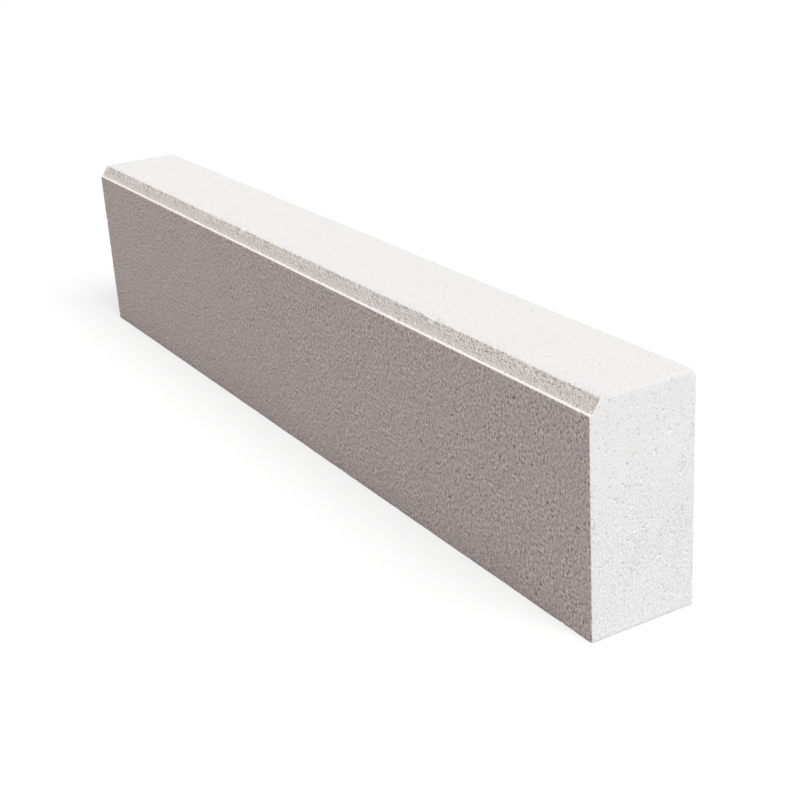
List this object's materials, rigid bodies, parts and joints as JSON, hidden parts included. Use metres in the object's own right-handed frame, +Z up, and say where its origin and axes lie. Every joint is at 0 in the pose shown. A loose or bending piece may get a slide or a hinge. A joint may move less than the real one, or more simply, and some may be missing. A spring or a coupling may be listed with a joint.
{
  "type": "concrete kerb stone",
  "caption": "Straight concrete kerb stone: a long rectangular block with a bevelled and ledged front top edge, laid end to end to edge a road, path or bed.",
  "frame": {"origin": "centre of the base, on the ground", "axes": "+X along the kerb, +Y across it from the bevelled front face to the back, +Z up"},
  "size_m": [1, 0.1, 0.2],
  "materials": {
    "concrete": "matt, fine-grained pressed concrete with small open pores"
  },
  "bodies": {
    "root": {"kerb_stone": "concrete"}
  },
  "joints": []
}
